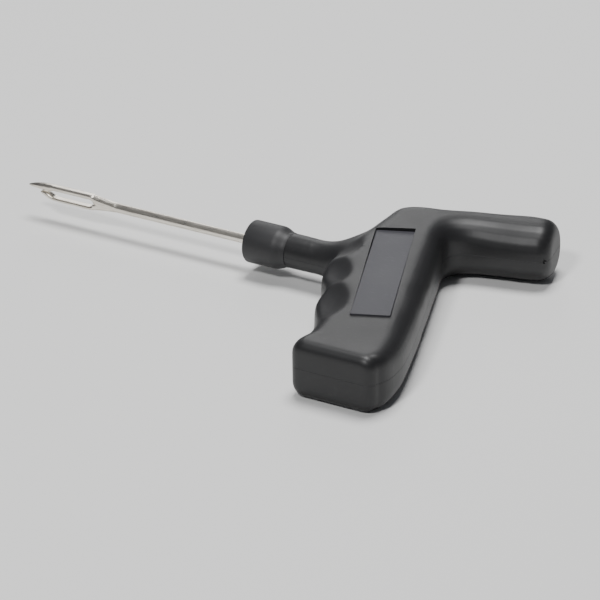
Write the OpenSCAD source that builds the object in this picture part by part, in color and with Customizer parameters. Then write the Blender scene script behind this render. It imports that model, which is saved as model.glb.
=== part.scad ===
// Tyre plug insertion tool: a pistol-grip handle in two moulded halves, which holds a
// replaceable split-eye needle in a steel socket. The tool lies on its right side:
// the needle points to -X, the grip reaches to -Y, and the label plate faces up (+Z).
// Inside the modules x runs back from the collar's front face, y and z from the needle's axis.

/* [Handle] */
// Half thickness of the head, on the side with the label plate
head_half_t = 10.2; // [9.9:0.1:10.5]
// Half thickness of the butt, on the side with the label plate
butt_half_t = 8.4; // [8.2:0.1:9]
// Half thickness of the flat side that the tool rests on
rest_half_t = 9.6; // [9.5:0.1:10]
// Half thickness of the round horn
horn_half_t = 9.2; // [9:0.1:9.4]
// Wall of the two hollow shells
wall = 2.8; // [2.2:0.1:2.8]
// Half height of the hollow inside the shells
hollow_half_t = 6.4; // [6:0.1:7]
// Rounding of the butt's rim
butt_round = 3.2; // [2:0.1:3.6]
// Rounding of the horn's end
horn_round = 4.6; // [3.5:0.1:5]

/* [Neck and collar] */
// Diameter of the neck behind the collar
neck_d = 10.6; // [10.2:0.1:11]
// Distance from the collar's front to where the neck flares out
neck_flare_x = 23.5; // [23:0.1:23.7]
// Diameter of the spigot inside the collar
spigot_d = 9.2; // [9:0.1:9.4]
// Outer diameter of the collar
collar_d = 13.2; // [13:0.1:14]
// Length of the collar
collar_length = 14; // [13:0.5:15]
// Length of the collar's full-width front part
collar_land = 9.6; // [9:0.1:10]
// Thickness of the collar's front wall
collar_front = 1.6; // [1.4:0.1:1.8]

/* [Needle] */
// Shank diameter
needle_d = 3; // [2.8:0.1:3.2]
// Needle length in front of the collar
needle_reach = 80.5; // [70:0.5:90]
// Needle length held behind the collar's front
needle_grip = 28; // [24:1:29]
// Radial play between the needle and its socket
needle_play = 0.05; // [0.03:0.01:0.1]
// Depth of the flat that the set screw bears on
needle_flat = 0.4; // [0.3:0.1:0.5]
// Height of the eye over its two prongs
eye_height = 5; // [4.8:0.1:5.4]
// Thickness of the flattened eye
eye_depth = 2.6; // [2.2:0.1:2.8]
// Inside length of the eye
eye_length = 16; // [12:1:17]
// Inside height of the eye
eye_gap = 2.4; // [2:0.1:2.6]
// Thickness of the long prong, which carries the point
long_prong = 1.6; // [1.4:0.1:1.7]
// Tip to the short prong's end
tip_length = 4.6; // [4:0.1:5]
// Width of the slit that a plug passes to enter the eye
slit = 0.4; // [0.3:0.1:0.5]

/* [Needle socket] */
// Outer diameter of the steel socket
socket_d = 6.4; // [6:0.1:6.6]
// Distance from the collar's front to the socket's rear end
socket_end = 43; // [42.5:0.5:43]
// Diameter of the cross pin that anchors the socket
anchor_pin_d = 3; // [2.5:0.1:3.2]
// Length of the cross pin
anchor_pin_length = 14; // [12:0.5:14]
// Set screw's thread diameter
set_screw_d = 4; // [3:0.5:4]
// Set screw's length
set_screw_length = 5; // [4:0.5:5]
// Set screw's distance from the collar's front
set_screw_x = 6; // [5:0.5:6.5]
// Width across the flats of the set screw's hexagon socket
set_screw_af = 2; // [1.5:0.5:2]

/* [Label plate] */
// Plate length
plate_length = 56.4; // [54:0.1:57]
// Plate width
plate_width = 11.8; // [11:0.1:12]
// Plate thickness
plate_t = 1.4; // [1.2:0.1:1.6]
// Lean of the plate and the grip
grip_lean = 22; // [21:0.5:23]

/* [Grip screws] */
// Shank diameter
grip_screw_d = 3; // [2.5:0.1:3.2]
// Head diameter
grip_screw_head_d = 5.6; // [5:0.1:6]
// Head height
grip_screw_head_h = 1.9; // [1.6:0.1:2]
// Length under the head
grip_screw_length = 12; // [10:0.5:12]
// Distance of each screw from the middle of the label plate
grip_screw_offset = 20; // [18:0.5:21]
// Diameter of the bosses round the screws
boss_d = 8; // [7.6:0.1:8.4]

/* [Hidden] */
$fn = 64;

plastic_black = "#4a4a4c";
plate_black = "#5e5e64";
collar_black = "#3c3c3e";
steel = "#b9b6ae";
bright_nickel = "#e2ddd2";

fit_play = 0.02;
thread_play = 0.05;
plate_gap = 0.1;
overcut = 1;

// The handle's stations, from the horn's end round the head and down to the butt:
// [front x, front y, rear x, rear y, how flat the side is, radius of the edges].
stations = [
    [77.2, 45.6, 81.2, 27.6, 0, 8.7],
    [72.6, 45, 76.6, 26.2, 0, 8.7],
    [63.8, 41.8, 69.6, 24.7, 0, 8.5],
    [54.8, 38, 63, 23.2, 0.3, 8],
    [46, 32.9, 59.3, 21.4, 0.7, 7.4],
    [38.8, 29.6, 57.7, 19, 1, 7],
    [34.9, 25.8, 57.3, 16.4, 1, 6.4],
    [34.6, 18.8, 57.9, 13.4, 1, 6],
    [34.2, 10.6, 59.7, 8.8, 1, 6],
    [33.6, 1, 62.1, 2.4, 1, 6],
    [33.2, -8.4, 64.9, -5, 1, 6.2],
    [34.7, -16.5, 67.1, -10.6, 1, 6.4],
    [36.9, -22, 68.5, -14.6, 1, 6.2],
    [41.3, -28.2, 70.7, -20.4, 1, 6.8],
    [42.9, -35.6, 73.3, -27.4, 1, 6.2],
    [46.9, -43, 76.1, -35.2, 1, 6.8],
    [50.3, -50, 78.7, -43, 1, 6.6],
    [51.8, -56.4, 80.8, -50.6, 1, 6],
    [51.7, -60, 81.5, -57.4, 1, 5],
    [51.9, -62.2, 81.1, -61.2, 1, 4.2],
    [52.1, -63.3, 80, -63.3, 1, 4.2]
];
// The flare from the neck into the head: [x, sideways middle, half width, half height].
flare_stations = [
    [neck_flare_x, 0, neck_d / 2 - 0.2, neck_d / 2 - 0.2],
    [26.3, 0.1, 5.6, 5.5],
    [28.8, 0.5, 6.3, 5.8],
    [30.8, 1.2, 7.7, 6.4],
    [32.8, 2.1, 9.8, 7.1],
    [34.6, 3, 12.2, 7.7],
    [37.4, 3.6, 14, 8]
];
taper_top_y = 14;
taper_end_y = -60;
plate_middle = [54.6, -15.9];
horn_peg = [66, 34];
butt_peg = [67, -54.5];
plate_offset = 2.2;
rib_length = 23;
rib_t = 1.6;

function spline(a, b, c, d, t) =
    0.5 * (2 * b + (c - a) * t + (2 * a - 5 * b + 4 * c - d) * t * t
           + (3 * b - a - 3 * c + d) * t * t * t);
function clamped(list, i) = list[min(max(i, 0), len(list) - 1)];
function smoothed(list, steps) = [
    for (i = [0:len(list) - 2], k = [0:steps - 1])
        spline(clamped(list, i - 1), list[i], list[i + 1], clamped(list, i + 2), k / steps),
    list[len(list) - 1]
];

// Half thickness at a station: the label side tapers from head to butt, the rest side is flat.
function tapered_t(y) =
    let (share = min(max((taper_top_y - y) / (taper_top_y - taper_end_y), 0), 1))
    head_half_t + (butt_half_t - head_half_t) * share;
function side_t(s, label_side) =
    horn_half_t + s[4] * ((label_side ? tapered_t(s[1]) : rest_half_t) - horn_half_t);

// Half a cross section, from the rear edge over the side face to the front edge.
function half_ring(s, half_t, inset, shift, step) =
    let (span = [s[2] - s[0], s[3] - s[1]], across = span / norm(span),
         middle = [(s[0] + s[2]) / 2, (s[1] + s[3]) / 2] + shift,
         w = norm(span) / 2 - inset, t = half_t - inset,
         e = min(s[5] - inset / 2, w - 0.2, t - 0.2),
         outline = [[w, 0],
                    for (a = [0:step:90]) [w - e + e * cos(a), t - e + e * sin(a)],
                    for (a = [90:step:180]) [e - w + e * cos(a), t - e + e * sin(a)],
                    [-w, 0]])
    [for (p = outline) [middle.x + across.x * p.x, middle.y + across.y * p.x, p.y]];

// Rings that close an end with a rounded rim, from the widest to the flat face.
function rim(s, half_t, radius, direction) = [
    for (a = [22.5:22.5:90])
        half_ring(s, half_t, radius * (1 - cos(a)), direction * radius * sin(a), 18)
];
function reversed(list) = [for (i = [len(list) - 1:-1:0]) list[i]];

function outer_rings(label_side) =
    let (all = smoothed(stations, 3), first = all[0], last = all[len(all) - 1],
         span = [first[2] - first[0], first[3] - first[1]],
         horn_out = [-span.y, span.x] / norm(span))
    [each reversed(rim(first, side_t(first, label_side), horn_round, horn_out)),
     for (s = all) half_ring(s, side_t(s, label_side), 0, [0, 0], 18),
     each rim(last, side_t(last, label_side), butt_round, [0, -1])];

function hollow_rings() =
    let (all = smoothed(stations, 2))
    [for (i = [1:len(all) - 4]) half_ring(all[i], hollow_half_t + wall, wall, [0, 0], 30)];

outer_points = [for (ring = outer_rings(true), p = ring) p];
x_max = max([for (p = outer_points) p.x]);
y_min = min([for (p = outer_points) p.y]);
y_max = max([for (p = outer_points) p.y]);
x_mid = (x_max - needle_reach) / 2;
y_mid = (y_max + y_min) / 2;

// Puts the finished piece in the part's own frame: origin under the middle of the tool.
module placed() {
    translate([-x_mid, -y_mid, rest_half_t]) children();
}

// Turns something drawn along +Z to lie along the needle's axis, from x = 0 backwards.
module along_x(x = 0) {
    translate([x, 0, 0]) rotate([0, 90, 0]) children();
}

// Turns something drawn along +Z to stand on the needle's axis towards +Y.
module along_y(x) {
    translate([x, 0, 0]) rotate([-90, 0, 0]) children();
}

// Puts something on the label plate's long axis, at a distance above the plate's middle.
module on_plate_axis(distance) {
    translate([plate_middle.x, plate_middle.y, 0])
        rotate([0, 0, grip_lean])
            translate([0, distance, 0]) children();
}

// A closed skin through a list of half rings.
module skin(rings) {
    n = len(rings);
    m = len(rings[0]);
    polyhedron(
        points = [for (ring = rings) each ring],
        faces = [
            for (i = [0:n - 2], j = [0:m - 1]) let (k = (j + 1) % m) each [
                [i * m + j, (i + 1) * m + j, (i + 1) * m + k],
                [i * m + j, (i + 1) * m + k, i * m + k]
            ],
            [for (j = [0:m - 1]) j],
            [for (j = [m - 1:-1:0]) (n - 1) * m + j]
        ]
    );
}

// Upper half of the neck: spigot for the collar, round neck and flare into the head.
module neck_half() {
    rotate([0, 90, 0]) rotate([0, 0, 90])
        rotate_extrude(angle = 180)
            polygon([
                [0, collar_front], [spigot_d / 2, collar_front], [spigot_d / 2, collar_length],
                [neck_d / 2, collar_length], [neck_d / 2, neck_flare_x + 2.4],
                [0, neck_flare_x + 2.4]
            ]);
    skin([
        for (s = smoothed(flare_stations, 3))
            [for (a = [0:15:180]) [s[0], s[1] + s[2] * cos(a), s[3] * sin(a)]]
    ]);
}

// Bosses, ribs and the socket's cradle, which stand inside the hollow.
module inner_works() {
    boss_h = hollow_half_t + 0.4;
    cradle_from = 31.5;
    cradle_r = 5.4;
    rotate([0, 90, 0]) rotate([0, 0, 90])
        rotate_extrude(angle = 180)
            translate([0, cradle_from]) square([cradle_r, socket_end + 1.6 - cradle_from]);
    translate([socket_end - 4, 0, 0]) cylinder(d = anchor_pin_d + 3, h = boss_h + 0.4);
    for (side = [-1, 1])
        on_plate_axis(side * grip_screw_offset) cylinder(d = boss_d, h = boss_h);
    for (peg = [horn_peg, butt_peg])
        translate([peg.x, peg.y, 0]) cylinder(d = 6, h = boss_h);
    for (distance = [0, -grip_screw_offset - 9.5])
        on_plate_axis(distance)
            translate([-rib_length / 2 - plate_offset, -rib_t / 2, 0])
                cube([rib_length, rib_t, hollow_half_t + 0.1]);
}

// One half of the handle, from the parting plane up, before its own holes.
module half_handle(label_side) {
    difference() {
        union() {
            skin(outer_rings(label_side));
            neck_half();
        }
        skin(hollow_rings());
    }
    inner_works();
}

// What both halves are cut by: the socket's seat, the anchor pin's and the set screw's way.
module shared_cuts() {
    along_x() cylinder(d = socket_d + 2 * fit_play, h = socket_end + fit_play);
    translate([socket_end - 4, 0, -anchor_pin_length / 2 - fit_play])
        cylinder(d = anchor_pin_d + 2 * fit_play, h = anchor_pin_length + 2 * fit_play);
    along_y(set_screw_x) cylinder(d = set_screw_d + 2 * thread_play, h = spigot_d);
}

plate_top = side_t(stations[12], true) - 0.1;
plate_bottom = plate_top - plate_t;
screw_seat = plate_bottom - 0.2 - grip_screw_head_h;
peg_d = 3;
peg_length = 3;

// Left half of the handle: the visible side, with the recess for the label plate.
module left_shell() {
    color(plastic_black) placed() {
        difference() {
            half_handle(true);
            shared_cuts();
            on_plate_axis(0)
                translate([-plate_width / 2 - plate_gap, -plate_length / 2 - plate_gap, plate_bottom])
                    cube([plate_width + 2 * plate_gap, plate_length + 2 * plate_gap, head_half_t]);
            for (side = [-1, 1])
                on_plate_axis(side * grip_screw_offset) {
                    translate([0, 0, -overcut])
                        cylinder(d = grip_screw_d + 0.3, h = head_half_t);
                    translate([0, 0, screw_seat])
                        cylinder(d = grip_screw_head_d + 0.3, h = head_half_t);
                }
        }
        for (peg = [horn_peg, butt_peg])
            translate([peg.x, peg.y, -peg_length]) cylinder(d = peg_d, h = peg_length + overcut);
    }
}

// Right half of the handle: the flat side that the tool rests on, with the screws' bosses.
module right_shell() {
    color(plastic_black) placed()
        difference() {
            mirror([0, 0, 1]) half_handle(false);
            shared_cuts();
            for (side = [-1, 1])
                on_plate_axis(side * grip_screw_offset)
                    translate([0, 0, screw_seat - grip_screw_length - fit_play])
                        cylinder(d = grip_screw_d + 2 * fit_play, h = grip_screw_length);
            for (peg = [horn_peg, butt_peg])
                translate([peg.x, peg.y, -peg_length - 0.2])
                    cylinder(d = peg_d + 2 * fit_play, h = peg_length + overcut);
        }
}

// Blank label plate, snapped over the grip screws: sunk at its top end, proud at its bottom.
module label_plate() {
    color(plate_black) placed()
        on_plate_axis(0)
            translate([-plate_width / 2, -plate_length / 2, plate_bottom])
                cube([plate_width, plate_length, plate_t]);
}

// Ring pressed over the spigot, which binds the two halves round the socket.
module neck_collar() {
    front_round = 0.6;
    shoulder = collar_length - collar_land;
    drop = (collar_d - neck_d) / 2;
    color(collar_black) placed()
        difference() {
            along_x()
                rotate_extrude()
                    polygon([
                        [needle_d / 2 + 0.4, 0],
                        for (a = [0:15:90])
                            [collar_d / 2 - front_round * (1 - sin(a)), front_round * (1 - cos(a))],
                        for (a = [0:15:180])
                            [collar_d / 2 - drop * (1 - cos(a)) / 2, collar_land + shoulder * a / 180],
                        [spigot_d / 2 + fit_play, collar_length],
                        [spigot_d / 2 + fit_play, collar_front],
                        [needle_d / 2 + 0.4, collar_front]
                    ]);
            along_y(set_screw_x) cylinder(d = set_screw_d + 2 * thread_play, h = collar_d);
        }
}

// Steel socket: bored for the needle, tapped for the set screw, drilled for the anchor pin.
module needle_socket() {
    color(steel) placed()
        difference() {
            along_x(collar_front) cylinder(d = socket_d, h = socket_end - collar_front);
            along_x() cylinder(d = needle_d + 2 * needle_play, h = needle_grip + 0.4);
            along_y(set_screw_x) cylinder(d = set_screw_d + 2 * thread_play, h = socket_d);
            translate([socket_end - 4, 0, -socket_d])
                cylinder(d = anchor_pin_d + 2 * fit_play, h = 2 * socket_d);
        }
}

// Dowel across the socket's rear end, which takes push, pull and twist into both shells.
module anchor_pin() {
    chamfer = 0.3;
    color(steel) placed()
        translate([socket_end - 4, 0, -anchor_pin_length / 2]) {
            cylinder(d1 = anchor_pin_d - 2 * chamfer, d2 = anchor_pin_d, h = chamfer);
            translate([0, 0, chamfer]) cylinder(d = anchor_pin_d, h = anchor_pin_length - 2 * chamfer);
            translate([0, 0, anchor_pin_length - chamfer])
                cylinder(d1 = anchor_pin_d, d2 = anchor_pin_d - 2 * chamfer, h = chamfer);
        }
}

// Outline of the eye seen from the side: x back from the tip, then height.
module eye_outline() {
    top = eye_height / 2;
    under = top - long_prong;
    eye_start = tip_length + 3.4;
    eye_end = eye_start + eye_length;
    blend = 7.5;
    r = needle_d / 2 - 0.04;
    slit_top = under - 0.5;
    difference() {
        polygon([
            [0, 0.75], [0.15, 1.05], [0.8, 1.32], [2.2, 1.74], [4.2, 2.14], [6.5, 2.4], [9, top],
            [eye_end - 2, top],
            for (a = [0:15:180]) [eye_end + blend * a / 180, r + (top - r) * (1 + cos(a)) / 2],
            [eye_end + blend + 3, r], [eye_end + blend + 3, -r],
            for (a = [180:-15:0]) [eye_end + blend * a / 180, -r - (top - r) * (1 + cos(a)) / 2],
            [eye_end - 2, -top], [10.5, -top], [8.2, -2.25], [6.4, -1.7],
            [tip_length + 0.6, -1.05], [tip_length, -0.5], [tip_length, slit_top - slit],
            [tip_length, slit_top], [1.2, 0.55], [0.2, 0.6]
        ]);
        translate([tip_length - 0.5, slit_top - slit]) square([eye_start - tip_length + 1, slit]);
        translate([eye_start + eye_gap / 2, under - eye_gap])
            square([eye_length - eye_gap, eye_gap]);
        for (x = [eye_start + eye_gap / 2, eye_end - eye_gap / 2])
            translate([x, under - eye_gap / 2]) circle(d = eye_gap);
    }
}

// Replaceable needle: round shank with a flat for the set screw, and a split eye at the front.
module insertion_needle() {
    eye_total = tip_length + 3.4 + eye_length + 7.5;
    shank_from = eye_total - needle_reach;
    chamfer = 0.4;
    color(bright_nickel) placed() {
        translate([-needle_reach, eye_depth / 2, 0])
            rotate([90, 0, 0]) linear_extrude(eye_depth) eye_outline();
        difference() {
            union() {
                along_x(shank_from) cylinder(d = needle_d, h = needle_grip - chamfer - shank_from);
                along_x(needle_grip - chamfer)
                    cylinder(d1 = needle_d, d2 = needle_d - 2 * chamfer, h = chamfer);
            }
            translate([2, needle_d / 2 - needle_flat, -needle_d])
                cube([needle_grip, needle_d, 2 * needle_d]);
        }
    }
}

// Grub screw with a hexagon socket, which clamps the needle by its flat.
module set_screw() {
    tip = 0.6;
    gap = 0.05;
    color(steel) placed()
        along_y(set_screw_x)
            translate([0, 0, needle_d / 2 - needle_flat + gap])
                difference() {
                    union() {
                        cylinder(d1 = set_screw_d - 2 * tip, d2 = set_screw_d, h = tip);
                        translate([0, 0, tip])
                            cylinder(d = set_screw_d, h = set_screw_length - tip);
                    }
                    translate([0, 0, set_screw_length / 2])
                        cylinder(d = set_screw_af / cos(30), h = set_screw_length, $fn = 6);
                }
}

// Self-tapping screw from the left shell into a boss of the right one, with a cross recess.
module grip_screw(side) {
    recess_l = 3;
    recess_w = 0.7;
    recess_h = 1;
    color(steel) placed()
        on_plate_axis(side * grip_screw_offset)
            translate([0, 0, screw_seat])
                difference() {
                    union() {
                        translate([0, 0, -grip_screw_length])
                            cylinder(d = grip_screw_d, h = grip_screw_length + overcut);
                        cylinder(d = grip_screw_head_d, h = grip_screw_head_h);
                    }
                    for (turn = [0, 90])
                        rotate([0, 0, turn])
                            translate([-recess_l / 2, -recess_w / 2, grip_screw_head_h - recess_h])
                                cube([recess_l, recess_w, recess_h + overcut]);
                }
}

module grip_screw_upper() {
    grip_screw(1);
}

module grip_screw_lower() {
    grip_screw(-1);
}

left_shell();
right_shell();
label_plate();
neck_collar();
needle_socket();
anchor_pin();
insertion_needle();
set_screw();
grip_screw_upper();
grip_screw_lower();
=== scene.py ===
# Tyre plug insertion tool. Sections follow its assembly: the two moulded handle halves, the
# steel socket with its anchor pin, the collar, the needle and its set screw, the grip screws
# and the label plate. Then come the floor, the lights and the camera.
import math

import bpy
from mathutils import Matrix, Vector


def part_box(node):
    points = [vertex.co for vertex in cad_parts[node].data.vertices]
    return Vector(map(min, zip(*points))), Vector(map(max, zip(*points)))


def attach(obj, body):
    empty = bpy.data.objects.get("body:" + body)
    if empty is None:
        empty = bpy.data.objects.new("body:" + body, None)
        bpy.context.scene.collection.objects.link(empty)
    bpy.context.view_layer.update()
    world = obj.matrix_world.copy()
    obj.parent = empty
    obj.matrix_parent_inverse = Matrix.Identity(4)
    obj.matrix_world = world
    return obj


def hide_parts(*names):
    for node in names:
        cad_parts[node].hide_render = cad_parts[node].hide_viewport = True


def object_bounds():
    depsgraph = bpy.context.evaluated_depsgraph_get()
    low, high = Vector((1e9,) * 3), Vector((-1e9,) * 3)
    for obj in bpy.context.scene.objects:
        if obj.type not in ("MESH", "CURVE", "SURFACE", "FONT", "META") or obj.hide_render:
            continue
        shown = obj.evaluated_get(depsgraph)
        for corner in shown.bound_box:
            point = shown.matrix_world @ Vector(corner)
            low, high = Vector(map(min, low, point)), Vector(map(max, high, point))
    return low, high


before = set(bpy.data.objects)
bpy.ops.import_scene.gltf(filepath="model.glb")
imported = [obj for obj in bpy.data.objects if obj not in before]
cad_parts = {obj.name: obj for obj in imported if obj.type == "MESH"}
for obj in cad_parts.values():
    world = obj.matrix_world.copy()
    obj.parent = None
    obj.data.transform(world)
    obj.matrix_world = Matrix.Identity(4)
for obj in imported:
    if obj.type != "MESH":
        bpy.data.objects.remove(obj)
cad_low, cad_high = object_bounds()

# ---------------------------------------------------------------------------------------
# Handle halves. Two glass-filled nylon mouldings that meet on the needle's middle plane:
# horn for the palm, square head, grip with finger scoops, and a round neck. The core is built
# whole, from cross-sections, and then parted as the mould parts it.
MM = 0.001
collar_low, collar_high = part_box("neck_collar")


def at(x, y, z=0.0):
    """A place in mm: back from the collar's front, then sideways and up from the needle's axis."""
    middle = (collar_low + collar_high) / 2
    return Vector((collar_low.x + x * MM, middle.y + y * MM, middle.z + z * MM))


def pick_nothing():
    bpy.ops.object.select_all(action="DESELECT")


def pick_only(piece):
    bpy.ops.object.select_all(action="DESELECT")
    bpy.context.view_layer.objects.active = piece
    piece.select_set(True)


def name_new(name):
    piece = bpy.context.object
    piece.name = piece.data.name = name
    return piece


def settle(piece):
    """Leaves the object at the origin, unturned and unscaled, with its place in its mesh."""
    pick_only(piece)
    bpy.ops.object.transform_apply(location=True, rotation=True, scale=True)
    return piece


def work_on(piece):
    """Opens the piece in edit mode with nothing selected."""
    pick_only(piece)
    bpy.ops.object.mode_set(mode="EDIT")
    bpy.ops.mesh.select_mode(type="VERT")
    bpy.ops.mesh.select_all(action="DESELECT")


def choose(piece, kind, wanted):
    """In edit mode, selects the faces, edges or vertices that wanted(middle, normal) asks for."""
    bpy.ops.mesh.select_mode(type=kind)
    bpy.ops.mesh.select_all(action="DESELECT")
    bpy.ops.object.mode_set(mode="OBJECT")
    mesh = piece.data
    points = mesh.vertices
    if kind == "FACE":
        for face in mesh.polygons:
            face.select = wanted(face.center, face.normal)
    elif kind == "EDGE":
        for edge in mesh.edges:
            a, b = (points[i].co for i in edge.vertices)
            edge.select = wanted((a + b) / 2, (b - a).normalized())
    else:
        for point in points:
            point.select = wanted(point.co, point.normal)
    bpy.ops.object.mode_set(mode="EDIT")


def done(piece):
    bpy.ops.object.mode_set(mode="OBJECT")
    return piece


def finish_with(piece, kind, **settings):
    """Adds a modifier and applies it."""
    pick_only(piece)
    modifier = piece.modifiers.new(kind.lower(), kind)
    for key, value in settings.items():
        setattr(modifier, key, value)
    bpy.ops.object.modifier_apply(modifier=modifier.name)


def cut(piece, *tools):
    """Cuts the tools' shapes out of the piece and throws the tools away."""
    for tool in tools:
        finish_with(piece, "BOOLEAN", object=tool, operation="DIFFERENCE", solver="EXACT")
        bpy.data.objects.remove(tool)


def round_bar(name, start, end, diameter, sides=48):
    """A round bar between two places."""
    pick_nothing()
    along = end - start
    turn = along.to_track_quat("Z", "Y").to_euler()
    bpy.ops.mesh.primitive_cylinder_add(vertices=sides, radius=diameter * MM / 2, depth=along.length,
                                        location=(start + end) / 2, rotation=turn)
    return settle(name_new(name))


# Cross-sections from the horn's end round the head to the butt: front x and y, rear x and y,
# how flat the side face is, and the radius of the long edges.
stations = [
    (77.2, 45.6, 81.2, 27.6, 0, 8.7),
    (72.6, 45, 76.6, 26.2, 0, 8.7),
    (63.8, 41.8, 69.6, 24.7, 0, 8.5),
    (54.8, 38, 63, 23.2, 0.3, 8),
    (46, 32.9, 59.3, 21.4, 0.7, 7.4),
    (38.8, 29.6, 57.7, 19, 1, 7),
    (34.9, 25.8, 57.3, 16.4, 1, 6.4),
    (34.6, 18.8, 57.9, 13.4, 1, 6),
    (34.2, 10.6, 59.7, 8.8, 1, 6),
    (33.6, 1, 62.1, 2.4, 1, 6),
    (33.2, -8.4, 64.9, -5, 1, 6.2),
    (34.7, -16.5, 67.1, -10.6, 1, 6.4),
    (36.9, -22, 68.5, -14.6, 1, 6.2),
    (41.3, -28.2, 70.7, -20.4, 1, 6.8),
    (42.9, -35.6, 73.3, -27.4, 1, 6.2),
    (46.9, -43, 76.1, -35.2, 1, 6.8),
    (50.3, -50, 78.7, -43, 1, 6.6),
    (51.8, -56.4, 80.8, -50.6, 1, 6),
    (51.7, -60, 81.5, -57.4, 1, 5),
    (51.9, -62.2, 81.1, -61.2, 1, 4.2),
    (52.1, -63.3, 80, -63.3, 1, 4.2),
]


def between(index, share):
    """A cross-section on the smooth line through the stations, share of the way to the next."""
    near = [stations[min(max(index + step, 0), len(stations) - 1)] for step in (-1, 0, 1, 2)]
    return [0.5 * (2 * b + (c - a) * share + (2 * a - 5 * b + 4 * c - d) * share ** 2
                   + (3 * b - a - 3 * c + d) * share ** 3) for a, b, c, d in zip(*near)]


horn_half_t, label_side_rise, rest_side_rise = 9.2, 1, 0.4
taper_from, taper_length, taper_fall = 14, 74, 1.8


def half_thickness(y, flat):
    """The label side tapers from head to butt and the rest side is flat; the horn is round."""
    share = min(max((taper_from - y) / taper_length, 0), 1)
    return (horn_half_t + flat * (label_side_rise - taper_fall * share),
            horn_half_t + flat * rest_side_rise)


def rounded_loop(middle, lean, width, height, edge, corner_steps=6):
    """In edit mode, adds a closed loop of edges: an upright rounded rectangle, sizes in mm."""
    bpy.ops.mesh.primitive_plane_add(size=MM, location=middle, rotation=(math.pi / 2, 0, lean))
    bpy.ops.transform.resize(value=(width, width, height), center_override=middle)
    bpy.ops.mesh.bevel(offset=min(edge, width / 2 - 0.05, height / 2 - 0.05) * MM,
                       segments=corner_steps, affect="VERTICES", clamp_overlap=False)


def sleeve(name, loops):
    """A skin drawn through rounded loops, open at both ends."""
    pick_nothing()
    bpy.ops.mesh.primitive_plane_add(size=MM)
    skin = name_new(name)
    work_on(skin)
    bpy.ops.mesh.select_all(action="SELECT")
    bpy.ops.mesh.delete(type="VERT")
    for loop in loops:
        rounded_loop(*loop)
    bpy.ops.mesh.select_all(action="SELECT")
    bpy.ops.mesh.delete(type="ONLY_FACE")
    bpy.ops.mesh.select_mode(type="EDGE")
    bpy.ops.mesh.select_all(action="SELECT")
    bpy.ops.mesh.bridge_edge_loops(type="SINGLE")
    return done(skin)


def close_end(skin, place, outward, length, rim):
    """Lengthens an open end, closes it and rounds its rim."""
    work_on(skin)
    choose(skin, "EDGE", lambda middle, along: abs((middle - place).dot(outward)) < 0.01 * MM)
    bpy.ops.mesh.extrude_edges_move(TRANSFORM_OT_translate={"value": outward * length * MM})
    bpy.ops.mesh.edge_face_add()
    if rim:
        bpy.ops.mesh.bevel(offset=rim * MM, segments=6, affect="EDGES", clamp_overlap=False)
    return done(skin)


def outwards(piece):
    """Merges doubles and turns all faces outwards."""
    work_on(piece)
    bpy.ops.mesh.select_all(action="SELECT")
    bpy.ops.mesh.remove_doubles(threshold=0.001 * MM)
    bpy.ops.mesh.normals_make_consistent(inside=False)
    return done(piece)


def selected_places(piece):
    """In edit mode, the places of the selected vertices."""
    piece.update_from_editmode()
    return [point.co for point in piece.data.vertices if point.select]


def grow_from(piece, normal, steps):
    """Extrudes the end face that looks along normal: each step is a length and a scale."""
    work_on(piece)
    choose(piece, "FACE", lambda middle, facing: facing.dot(normal) > 0.99)
    for length, scale in steps:
        bpy.ops.mesh.extrude_region_move(TRANSFORM_OT_translate={"value": normal * length * MM})
        if scale != 1:
            ends = selected_places(piece)
            bpy.ops.transform.resize(value=(scale,) * 3,
                                     center_override=sum(ends, Vector()) / len(ends))
    return done(piece)


def copy_of(piece, name):
    twin = piece.copy()
    twin.data = piece.data.copy()
    twin.name = twin.data.name = name
    bpy.context.scene.collection.objects.link(twin)
    return twin


def joined(main, *others):
    pick_only(main)
    for other in others:
        other.select_set(True)
    bpy.ops.object.join()
    return main


steps_between = 3
sections = [between(index, step / steps_between)
            for index in range(len(stations) - 1) for step in range(steps_between)]
sections.append(between(len(stations) - 2, 1))


def section_loop(front_x, front_y, rear_x, rear_y, flat, edge):
    top, bottom = half_thickness(front_y, flat)
    return (at((front_x + rear_x) / 2, (front_y + rear_y) / 2, (top - bottom) / 2),
            math.atan2(rear_y - front_y, rear_x - front_x),
            math.hypot(rear_x - front_x, rear_y - front_y), top + bottom, edge)


core = sleeve("handle_core", [section_loop(*section) for section in sections])
forwards, backwards = Vector((-1, 0, 0)), Vector((1, 0, 0))
horn_out = Vector((18, 4, 0)).normalized()
close_end(core, at(79.2, 36.6), horn_out, 4.5, 4.4)
close_end(core, at(65, -63.3), Vector((0, -1, 0)), 3.2, 3)
outwards(core)

# The finger scoops: mm back and sideways to the front edge, ball radius and depth. Each ball
# leans out over the edge, once over the label side and once over the rest side.
edge_half_t = 8.9
for x, y, radius, depth in ((38, -11.1, 26, 0.6), (44.4, -29, 27, 0.9), (52.8, -48, 36, 1.3)):
    for side in (1, -1):
        pick_nothing()
        lean = Vector((-0.42, 0.15, 0.9 * side))
        bpy.ops.mesh.primitive_uv_sphere_add(
            segments=64, ring_count=32, radius=radius * MM,
            location=at(x, y, edge_half_t * side) + lean * (radius - depth) * MM)
        cut(core, name_new("finger_scoop"))

# The neck, and the spigot in front of it that the collar is pressed on.
neck_d, spigot_d, spigot_front, spigot_end = 10.6, 9.2, 1.6, 14
neck = round_bar("neck", at(spigot_front, 0), at(12.5, 0), spigot_d)
grow_from(neck, backwards, [(0, neck_d / spigot_d), (13.4, 1)])

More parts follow.
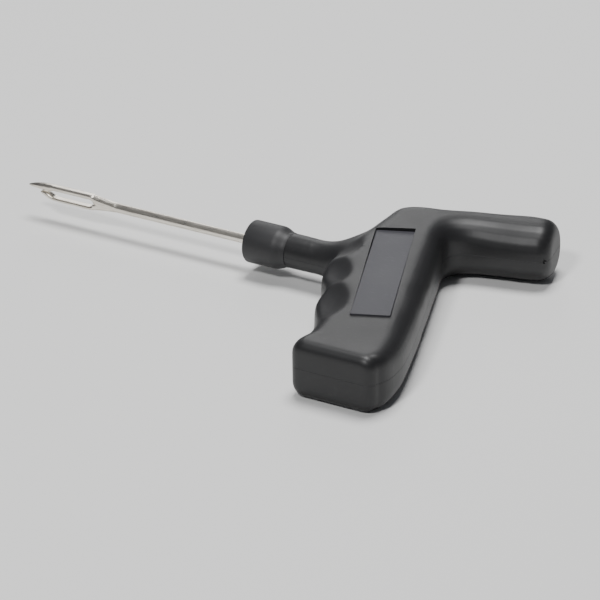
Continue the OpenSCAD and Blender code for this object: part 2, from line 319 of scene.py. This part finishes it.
# The flare of the neck into the head: mm back, sideways middle, half width and half height.
flare = [(23.5, 0, 5.1, 5.1), (26.3, 0.1, 5.6, 5.5), (28.8, 0.5, 6.3, 5.8), (30.8, 1.2, 7.7, 6.4),
         (32.8, 2.1, 9.8, 7.1), (34.6, 3, 12.2, 7.7), (37.4, 3.6, 14, 8)]
root = sleeve("neck_root", [(at(x, y), math.pi / 2, 2 * half_width, 2 * half_height, half_height)
                            for x, y, half_width, half_height in flare])
close_end(root, at(flare[0][0], 0), forwards, 0.1, 0)
close_end(root, at(flare[-1][0], 0), backwards, 0.1, 0)
core = outwards(joined(core, neck, root))
core_grain = 0.42
finish_with(core, "REMESH", mode="VOXEL", voxel_size=core_grain * MM, use_smooth_shade=True)

# The mould's blends: the whole skin is eased a little, and the root of the neck and the front
# of the grip more, in narrower and narrower reaches. A moulding is a hair under its mould's size.
shrinkage = 0.9994
root_x, root_y, grip_across = 33, 3, Vector((0.93, 0.36, 0))
work_on(core)
bpy.ops.mesh.select_all(action="SELECT")
bpy.ops.mesh.vertices_smooth(factor=0.5, repeat=4)
bpy.ops.transform.resize(value=(shrinkage,) * 3, center_override=(cad_low + cad_high) / 2)
for reach, passes in ((17, 6), (15, 14), (13, 24)):
    choose(core, "VERT", lambda place, facing: at(18, 0).x < place.x < at(41, 0).x
           and (place - at(root_x, root_y)).length < reach * MM)
    bpy.ops.mesh.vertices_smooth(factor=0.5, repeat=passes)
for reach, passes in ((14, 6), (12, 8), (10, 10)):
    choose(core, "VERT", lambda place, facing: at(0, -58).y < place.y < at(0, -4).y
           and (place - at(root_x, 0)).dot(grip_across) < reach * MM)
    bpy.ops.mesh.vertices_smooth(factor=0.5, repeat=passes)
done(core)

socket_seat_d, socket_seat_end = 6.44, 43.02
screw_x, screw_way_d = 6, 4.1


def screw_way():
    """The set screw's way in, from the needle's axis out through the side."""
    return round_bar("screw_way", at(screw_x, 0), at(screw_x, 9), screw_way_d)


def half_of(name, up):
    """The half of the core above or below the parting plane, with its edge broken."""
    half = copy_of(core, name)
    work_on(half)
    bpy.ops.mesh.select_all(action="SELECT")
    bpy.ops.mesh.bisect(plane_co=at(0, 0), plane_no=(0, 0, up), use_fill=True, clear_inner=True)
    bpy.ops.mesh.bevel(offset=0.05 * MM, segments=1, affect="EDGES")
    done(half)
    trim = round_bar("spigot_trim", at(0, 0), at(spigot_end, 0), 20, 96)
    cut(trim, round_bar("spigot", at(-1, 0), at(15, 0), spigot_d, 96))
    cut(half, trim, round_bar("socket_seat", at(-1, 0), at(socket_seat_end, 0), socket_seat_d),
        screw_way())
    return half


left_shell = half_of("left_shell_moulding", 1)
right_shell = half_of("right_shell_moulding", -1)
bpy.data.objects.remove(core)

# The label plate's seat. The plate leans with the grip and is centred in its node's box.
plate_low, plate_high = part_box("label_plate")
plate_middle = (plate_low + plate_high) / 2
grip_lean = math.radians(22)
plate_length, plate_width, seat_gap, seat_head_room = 56.4, 11.8, 0.08, 4


def plate_block(name, length, width, bottom, top):
    """A block on the plate's long axis; bottom and top are heights in the row frame."""
    pick_nothing()
    bpy.ops.mesh.primitive_cube_add(size=1, rotation=(0, 0, grip_lean),
                                    location=(plate_middle.x, plate_middle.y, (bottom + top) / 2))
    block = name_new(name)
    block.scale = (width * MM, length * MM, top - bottom)
    return settle(block)


cut(left_shell, plate_block("plate_seat", plate_length + 2 * seat_gap, plate_width + 2 * seat_gap,
                            plate_low.z, plate_high.z + seat_head_room * MM))

# The gate's dimple at the lower rim of the horn's end.
gate, gate_d, gate_depth, gate_out = at(84.2, 29.6), 1.3, 0.6, 2
for shell in (left_shell, right_shell):
    cut(shell, round_bar("gate", gate - gate_depth * MM * horn_out,
                         gate + gate_out * MM * horn_out, gate_d, 24))


class Wire:
    """A value on its way from node to node; sums on it add their Math nodes."""

    def __init__(self, tree, socket):
        self.tree, self.socket = tree, socket

    def sum(self, operation, first, second):
        node = self.tree.nodes.new("ShaderNodeMath")
        node.operation = operation
        for slot, value in zip(node.inputs, (first, second)):
            if isinstance(value, Wire):
                self.tree.links.new(value.socket, slot)
            else:
                slot.default_value = value
        return Wire(self.tree, node.outputs[0])

    def __add__(self, other): return self.sum("ADD", self, other)
    def __radd__(self, other): return self.sum("ADD", other, self)
    def __sub__(self, other): return self.sum("SUBTRACT", self, other)
    def __rsub__(self, other): return self.sum("SUBTRACT", other, self)
    def __mul__(self, other): return self.sum("MULTIPLY", self, other)
    def __rmul__(self, other): return self.sum("MULTIPLY", other, self)


class Finish:
    """A surface finish: one material, and the nodes that draw it."""

    def __init__(self, name, **constants):
        self.material = bpy.data.materials.new(name)
        self.material.use_nodes = True
        self.tree = self.material.node_tree
        self.shader = self.tree.nodes["Principled BSDF"]
        for socket, value in constants.items():
            self.shader.inputs[socket.replace("_", " ")].default_value = value
        self.place = self.node("ShaderNodeTexCoord", {}, {}, "Object")

    def node(self, kind, settings, sockets, out=0):
        """Adds a node: its settings, then the values or wires of its sockets."""
        made = self.tree.nodes.new(kind)
        for key, value in settings.items():
            if key == "stops":
                while len(made.color_ramp.elements) < len(value):
                    made.color_ramp.elements.new(0.5)
                for stop, (position, shade) in zip(made.color_ramp.elements, value):
                    stop.position, stop.color = position, (shade, shade, shade, 1)
            else:
                setattr(made, key, value)
        for key, value in sockets.items():
            if isinstance(value, Wire):
                self.tree.links.new(value.socket, made.inputs[key])
            else:
                made.inputs[key].default_value = value
        return Wire(self.tree, made.outputs[out])

    def noise(self, grain_mm, detail=2.0, rough=0.5, stretch=(1, 1, 1)):
        """Soft noise with a grain of that many mm, from 0 to 1."""
        place = self.node("ShaderNodeMapping", {}, {"Vector": self.place, "Scale": stretch})
        return self.node("ShaderNodeTexNoise", {}, {
            "Vector": place, "Scale": 1 / (grain_mm * MM), "Detail": detail, "Roughness": rough})

    def steps(self, value, *stops):
        """Turns a value into another by straight stretches between stops."""
        return self.node("ShaderNodeValToRGB", {"stops": stops}, {"Fac": value})

    def blend(self, share, first, second):
        """A colour between two, by a share from 0 to 1."""
        return self.node("ShaderNodeMix", {"data_type": "RGBA"}, {0: share, 6: first, 7: second}, 2)

    def relief(self, height, depth_mm, strength=1.0, under=None):
        """Bump from a height of 0 to 1, that many mm deep."""
        sockets = {"Height": height, "Distance": depth_mm * MM, "Strength": strength}
        if under is not None:
            sockets["Normal"] = under
        return self.node("ShaderNodeBump", {}, sockets)

    def give(self, **wires):
        for socket, wire in wires.items():
            self.tree.links.new(wire.socket, self.shader.inputs[socket.replace("_", " ")])
        return self.material


def wear(piece, material):
    """Gives the piece one material."""
    piece.data.materials.clear()
    piece.data.materials.append(material)


def satin_nylon(name, dark, light, grain_depth, sheen=0.42):
    """Black moulded nylon: fine spark-eroded grain, faint flow clouds, and hand-polished patches."""
    finish = Finish(name, Metallic=0.0, IOR=1.5)
    clouds = finish.noise(14, 3, 0.55)
    specks = finish.noise(0.9, 2, 0.6)
    grain = finish.noise(0.28, 2, 0.6)
    scuffs = finish.steps(finish.noise(2.2, 4, 0.65, (1, 3, 1)), (0.58, 0), (0.72, 1))
    colour = finish.blend(clouds * 0.6 + specks * 0.4, dark, light)
    colour = finish.blend(scuffs * 0.25, colour, [shade * 1.5 for shade in light[:3]] + [1])
    rough = sheen + clouds * 0.12 + grain * 0.08 - scuffs * 0.05
    waves = finish.relief(clouds, 0.12, 0.35)
    return finish.give(Base_Color=colour, Roughness=rough,
                       Normal=finish.relief(grain, grain_depth, 0.5, waves))


black_nylon = satin_nylon("satin_black_nylon", (0.009, 0.009, 0.0098, 1),
                          (0.015, 0.015, 0.016, 1), 0.02, 0.36)
for shell, node in ((left_shell, "left_shell"), (right_shell, "right_shell")):
    wear(shell, black_nylon)
    pick_only(shell)
    bpy.ops.object.shade_smooth_by_angle(angle=math.radians(40))
    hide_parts(node)
    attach(shell, "handle")

# ---------------------------------------------------------------------------------------
# Needle socket and anchor pin. A turned steel socket in the neck, zinc plated, with a steel
# dowel across its rear end that both halves hold. The two grip screws and the set screw have
# the same finish.


def zinc_steel():
    """Turned steel under thin zinc: fine turning lines and small dull patches."""
    finish = Finish("zinc_plated_steel", Metallic=1.0)
    patches = finish.noise(1.6, 3, 0.6)
    lines = finish.noise(0.08, 1, 0.5, (1, 1, 0.1))
    colour = finish.blend(patches, (0.46, 0.45, 0.43, 1), (0.62, 0.61, 0.58, 1))
    return finish.give(Base_Color=colour, Roughness=0.26 + patches * 0.16,
                       Normal=finish.relief(lines, 0.004, 0.6))


steel = zinc_steel()
for name in ("needle_socket", "anchor_pin", "grip_screw_upper", "grip_screw_lower", "set_screw"):
    wear(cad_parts[name], steel)

# ---------------------------------------------------------------------------------------
# Collar. A turned black nylon ring pressed over the neck's spigot: rounded front edge, soft
# shoulder down to the neck, a hole for the needle and one for the set screw.
collar_d, collar_land, collar_length, shoulder_fall, shoulder_steps = 13.2, 9.6, 14, 1.25, 9
collar = round_bar("collar_ring", at(0, 0), at(collar_land, 0), collar_d, 96)
work_on(collar)
choose(collar, "FACE", lambda middle, facing: facing.x < -0.99)
bpy.ops.mesh.bevel(offset=0.6 * MM, segments=4, affect="EDGES")
done(collar)
shoulder = [collar_d / 2 - shoulder_fall * (1 - math.cos(math.pi * step / shoulder_steps)) / 2
            for step in range(shoulder_steps + 1)]
grow_from(collar, backwards, [((collar_length - collar_land) / shoulder_steps, after / before)
                              for before, after in zip(shoulder, shoulder[1:])])
bore_d, needle_way_d = 9.24, 3.8
cut(collar, round_bar("spigot_bore", at(spigot_front, 0), at(15, 0), bore_d, 96),
    round_bar("needle_way", at(-1, 0), at(3, 0), needle_way_d), screw_way())
wear(collar, satin_nylon("collar_nylon", (0.017, 0.017, 0.018, 1), (0.027, 0.027, 0.029, 1), 0.016))
pick_only(collar)
bpy.ops.object.shade_smooth_by_angle(angle=math.radians(35))
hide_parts("neck_collar")
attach(collar, "handle")

# ---------------------------------------------------------------------------------------
# Insertion needle. Drawn steel wire, its front end split and pressed flat: the long upper prong
# carries the point and the shorter lower prong ends in a hook, a slit away from it. Ground and
# bright nickel plated. The set screw bears on a flat at its rear end.
tip_x, needle_d, needle_end, end_chamfer, end_d = -80.5, 3, 27.6, 0.4, 2.2


def prong(name, rings):
    """A prong from its front to the shank: mm back from the tip, top, bottom and width."""
    edge_share = 0.42
    bar = sleeve(name, [(at(tip_x + x, 0, (top + bottom) / 2), math.pi / 2, width, top - bottom,
                         edge_share * (top - bottom)) for x, top, bottom, width in rings])
    for x, outward in ((rings[0][0], forwards), (rings[-1][0], backwards)):
        close_end(bar, at(tip_x + x, 0), outward, 0.05, 0)
    return bar


long_prong = prong("long_prong", [
    (0.05, 1.0, 0.7, 0.5), (0.4, 1.18, 0.6, 0.9), (0.9, 1.34, 0.55, 1.3), (2.2, 1.74, 0.5, 1.8),
    (4.2, 2.14, 0.42, 2.3), (6.5, 2.4, 0.4, 2.55), (7.8, 2.45, 0.4, 2.6), (8.4, 2.48, 0.62, 2.6),
    (9.2, 2.5, 0.9, 2.6), (22.8, 2.5, 0.9, 2.6), (23.6, 2.48, 0.55, 2.6), (24, 2.45, -0.3, 2.62),
    (26, 2.25, -1, 2.7), (28, 1.95, -1, 2.8), (30, 1.62, -1, 2.92), (32, 1.46, -1, 2.92)])
short_prong = prong("short_prong", [
    (4.6, -0.25, -0.75, 1.5), (5.1, -0.1, -1, 1.9), (5.9, 0, -1.4, 2.2), (6.8, -0.1, -1.75, 2.45),
    (7.6, -0.4, -2.05, 2.6), (8.4, -0.85, -2.25, 2.6), (9.2, -1.25, -2.4, 2.6),
    (10.2, -1.45, -2.48, 2.6), (11.2, -1.5, -2.5, 2.6), (22.8, -1.5, -2.5, 2.6),
    (23.6, -1.15, -2.48, 2.6), (24, -0.3, -2.45, 2.62), (26, 1, -2.25, 2.7), (28, 1, -1.95, 2.8),
    (30, 1, -1.62, 2.92), (32, 1, -1.46, 2.92)])
needle = round_bar("insertion_needle_wire", at(tip_x + 30.5, 0), at(needle_end, 0), needle_d, 64)
grow_from(needle, backwards, [(end_chamfer, end_d / needle_d)])
needle = outwards(joined(needle, long_prong, short_prong))
needle_grain = 0.13
finish_with(needle, "REMESH", mode="VOXEL", voxel_size=needle_grain * MM, use_smooth_shade=True)
work_on(needle)
bpy.ops.mesh.select_all(action="SELECT")
bpy.ops.mesh.vertices_smooth(factor=0.5, repeat=5)
choose(needle, "VERT", lambda place, facing: at(tip_x + 26, 0).x < place.x < at(tip_x + 35, 0).x)
bpy.ops.mesh.vertices_smooth(factor=0.5, repeat=24)
done(needle)

# The flat under the set screw: the wire's last 26 mm, ground to 1.1 mm from its axis. The
# grinding tool's block is longer than the flat and runs off the wire's end.
flat_from_axis, flat_tool = 1.1, Vector((28, 2, 6))
pick_nothing()
bpy.ops.mesh.primitive_cube_add(size=1, location=at(16, flat_from_axis + flat_tool.y / 2))
flat = name_new("flat")
flat.scale = flat_tool * MM
cut(needle, settle(flat))


def bright_nickel():
    """Warm bright nickel over drawn wire: fine lines along the wire, and rubbed dull spots."""
    finish = Finish("bright_nickel", Metallic=1.0)
    lines = finish.noise(0.18, 3, 0.6, (0.03, 1, 1))
    spots = finish.noise(2.4, 3, 0.6, (0.5, 1, 1))
    colour = finish.blend(spots, (0.90, 0.86, 0.79, 1), (0.72, 0.67, 0.58, 1))
    dark_lines = finish.steps(lines, (0.38, 1), (0.52, 0))
    colour = finish.blend(dark_lines * 0.5, colour, (0.36, 0.33, 0.28, 1))
    return finish.give(Base_Color=colour, Roughness=0.2 + spots * 0.12 + lines * 0.08,
                       Normal=finish.relief(lines, 0.012, 0.5))


wear(needle, bright_nickel())
pick_only(needle)
bpy.ops.object.shade_smooth_by_angle(angle=math.radians(50))
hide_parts("insertion_needle")
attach(needle, "needle")

# ---------------------------------------------------------------------------------------
# Label plate. A blank nylon plate, snapped over the grip screws in its seat: sharp corners,
# a fine broken edge, and a slightly rougher and cooler face than the handle's.
corner_round, rim_round = 0.4, 0.22
plate = plate_block("label_plate_moulding", plate_length, plate_width, plate_low.z, plate_high.z)
work_on(plate)
choose(plate, "EDGE", lambda middle, along: abs(along.z) > 0.99)
bpy.ops.mesh.bevel(offset=corner_round * MM, segments=3, affect="EDGES")
choose(plate, "FACE", lambda middle, facing: facing.z > 0.99)
bpy.ops.mesh.bevel(offset=rim_round * MM, segments=3, affect="EDGES")
done(plate)
wear(plate, satin_nylon("plate_nylon", (0.040, 0.040, 0.047, 1), (0.052, 0.052, 0.061, 1),
                        0.03, 0.46))
pick_only(plate)
bpy.ops.object.shade_smooth_by_angle(angle=math.radians(35))
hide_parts("label_plate")
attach(plate, "handle")

# ---------------------------------------------------------------------------------------
# Floor, lights and camera. A plain pale floor, a soft key light low behind the tool for the
# sheen on its label side, a top light, and a small window of light in front of it.
pick_nothing()
bpy.ops.mesh.primitive_plane_add(size=6, location=(0, 0, 0))
floor = name_new("floor")
pale = Finish("pale_floor", Roughness=0.9)
pale.shader.inputs["Base Color"].default_value = (0.84, 0.84, 0.83, 1)
wear(floor, pale.material)


def set_up(name, data, place, looking_away_from):
    """Stands a light or a camera at a place, with its back turned to a direction."""
    thing = bpy.data.objects.new(name, data)
    thing.matrix_world = (Matrix.Translation(place)
                          @ looking_away_from.to_track_quat("Z", "Y").to_matrix().to_4x4())
    bpy.context.scene.collection.objects.link(thing)
    return thing


def soft_light(name, place, toward, size, power):
    lamp = bpy.data.lights.new(name, "AREA")
    lamp.shape, lamp.size, lamp.energy = "DISK", size, power
    set_up(name, lamp, place, place - toward)


aim = at(27.6, -18.6, -5.3)
soft_light("key_light", Vector((-0.4, 0.74, 0.4)), aim, 0.4, 1.35)
soft_light("top_light", Vector((0.0, 0.25, 1.3)), aim, 0.6, 17)
soft_light("window_light", Vector((0.05, -0.78, 0.95)), aim, 0.2, 6.5)
studio = bpy.data.worlds.new("studio")
studio.use_nodes = True
air = studio.node_tree.nodes["Background"]
air.inputs["Color"].default_value, air.inputs["Strength"].default_value = (0.9, 0.92, 1, 1), 0.11
bpy.context.scene.world = studio

azimuth, elevation, roll = (math.radians(angle) for angle in (31.0, 26.3, -0.93))
distance = 1.463
back = Vector((math.sin(azimuth) * math.cos(elevation), -math.cos(azimuth) * math.cos(elevation),
               math.sin(elevation)))
lens = bpy.data.cameras.new("camera")
lens.sensor_width, lens.lens = 36, 296
camera = set_up("camera", lens, aim + back * distance, back)
camera.matrix_world = camera.matrix_world @ Matrix.Rotation(roll, 4, "Z")
bpy.context.scene.camera = camera
